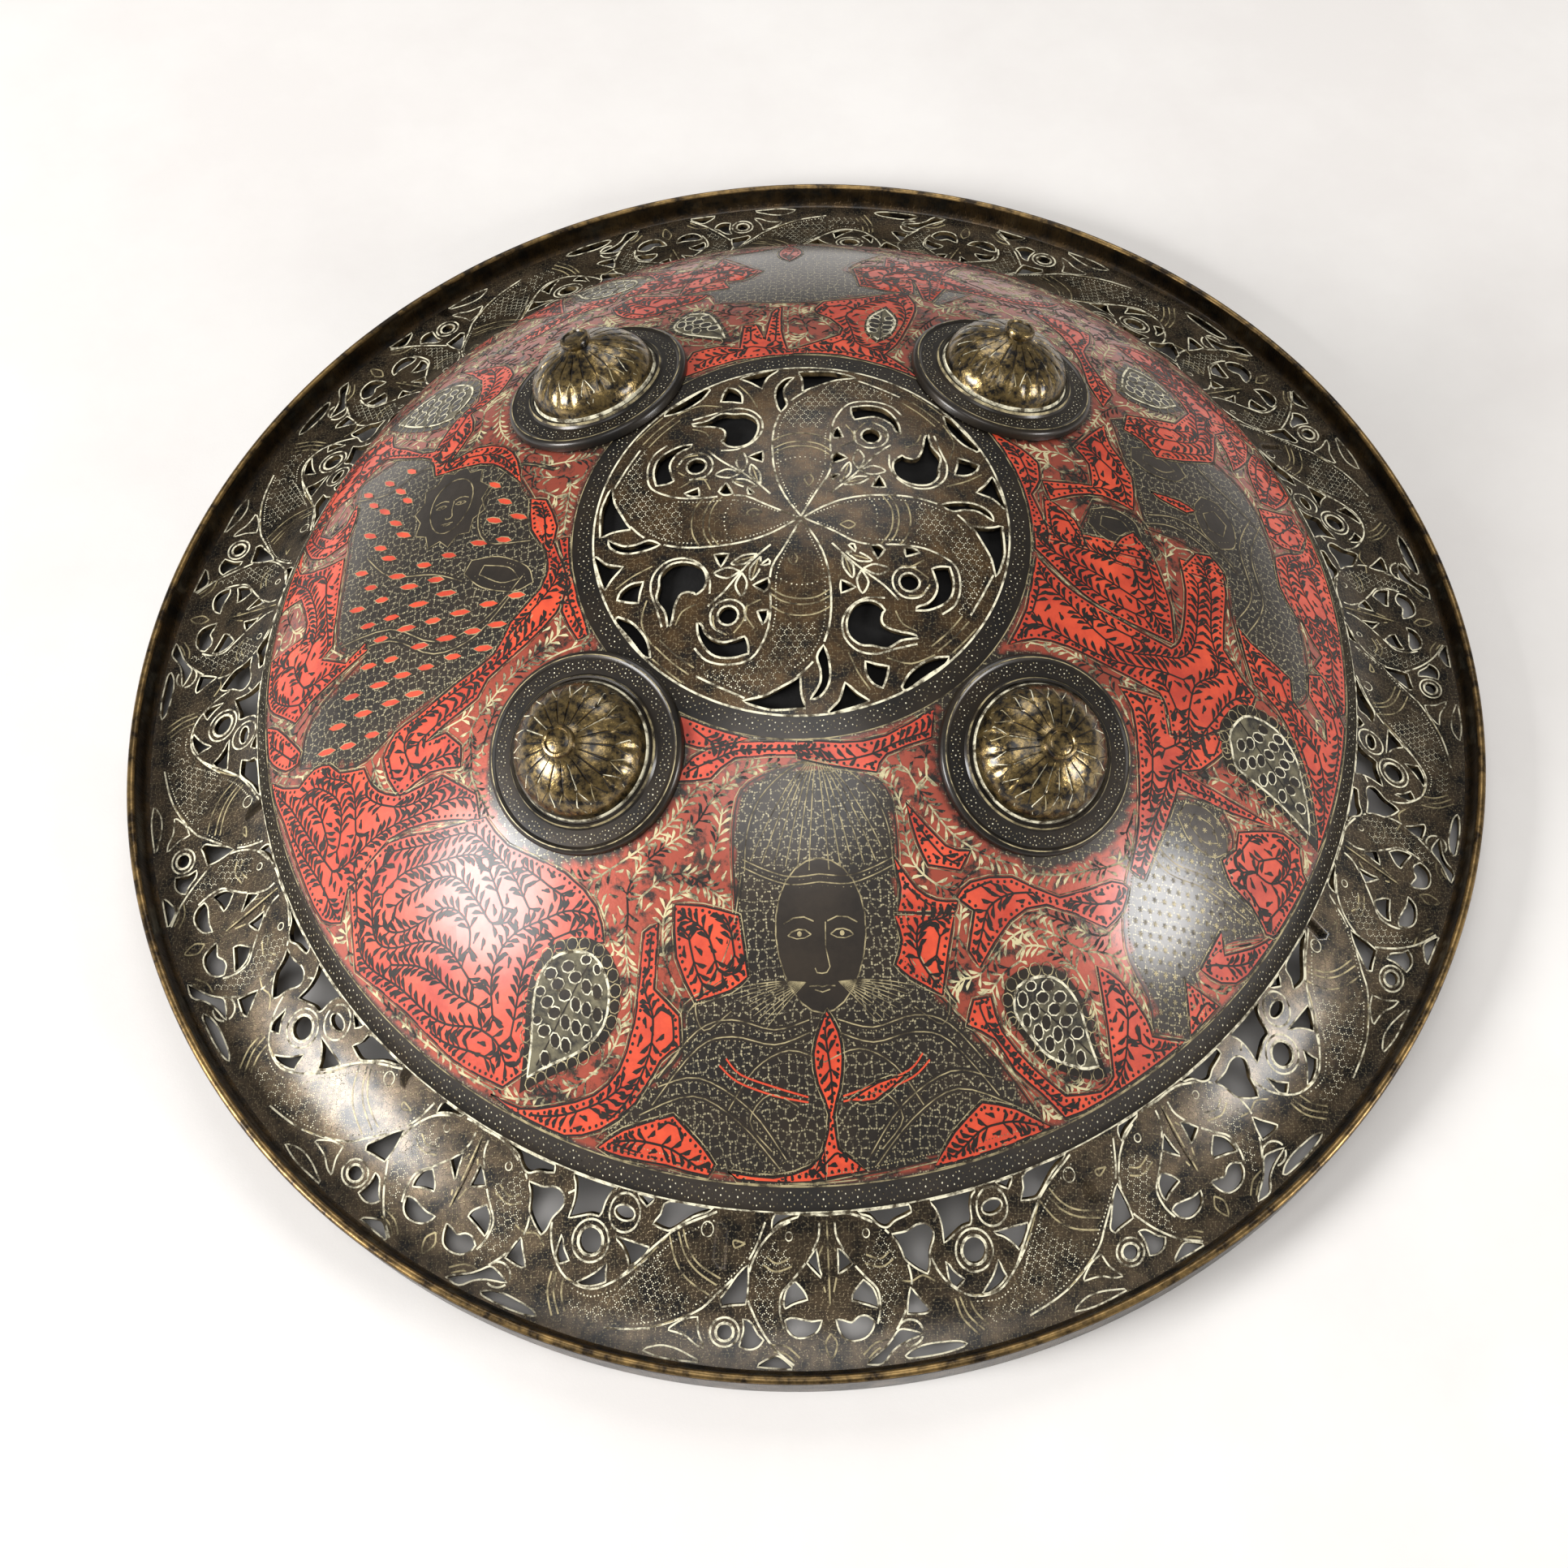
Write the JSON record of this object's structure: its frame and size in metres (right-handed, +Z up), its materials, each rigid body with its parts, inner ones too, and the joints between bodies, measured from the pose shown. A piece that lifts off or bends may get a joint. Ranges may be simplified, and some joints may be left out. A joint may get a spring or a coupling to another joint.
{
  "type": "round parade shield",
  "caption": "Round domed brass shield with a pierced crown and flange, a turned-up rim, riveted bosses and an engraved, lacquered dome.",
  "frame": {"origin": "middle of the rim's flat foot, on the plane the shield lies on", "axes": "+Z up through the crown; -Y towards the viewer of the picture; +X to the right"},
  "size_m": [0.46, 0.46, 0.1197],
  "materials": {
    "dark_brass_sheet": "dark patina, worn bright on the edges",
    "worn_brass_casting": "cast, hand rubbed",
    "dark_leather": "blackened, matt"
  },
  "bodies": {
    "root": {"dish": "dark_brass_sheet", "crown_backing": "dark_leather", "boss_1": "worn_brass_casting", "boss_2": "worn_brass_casting", "boss_3": "worn_brass_casting", "boss_4": "worn_brass_casting"}
  },
  "joints": []
}
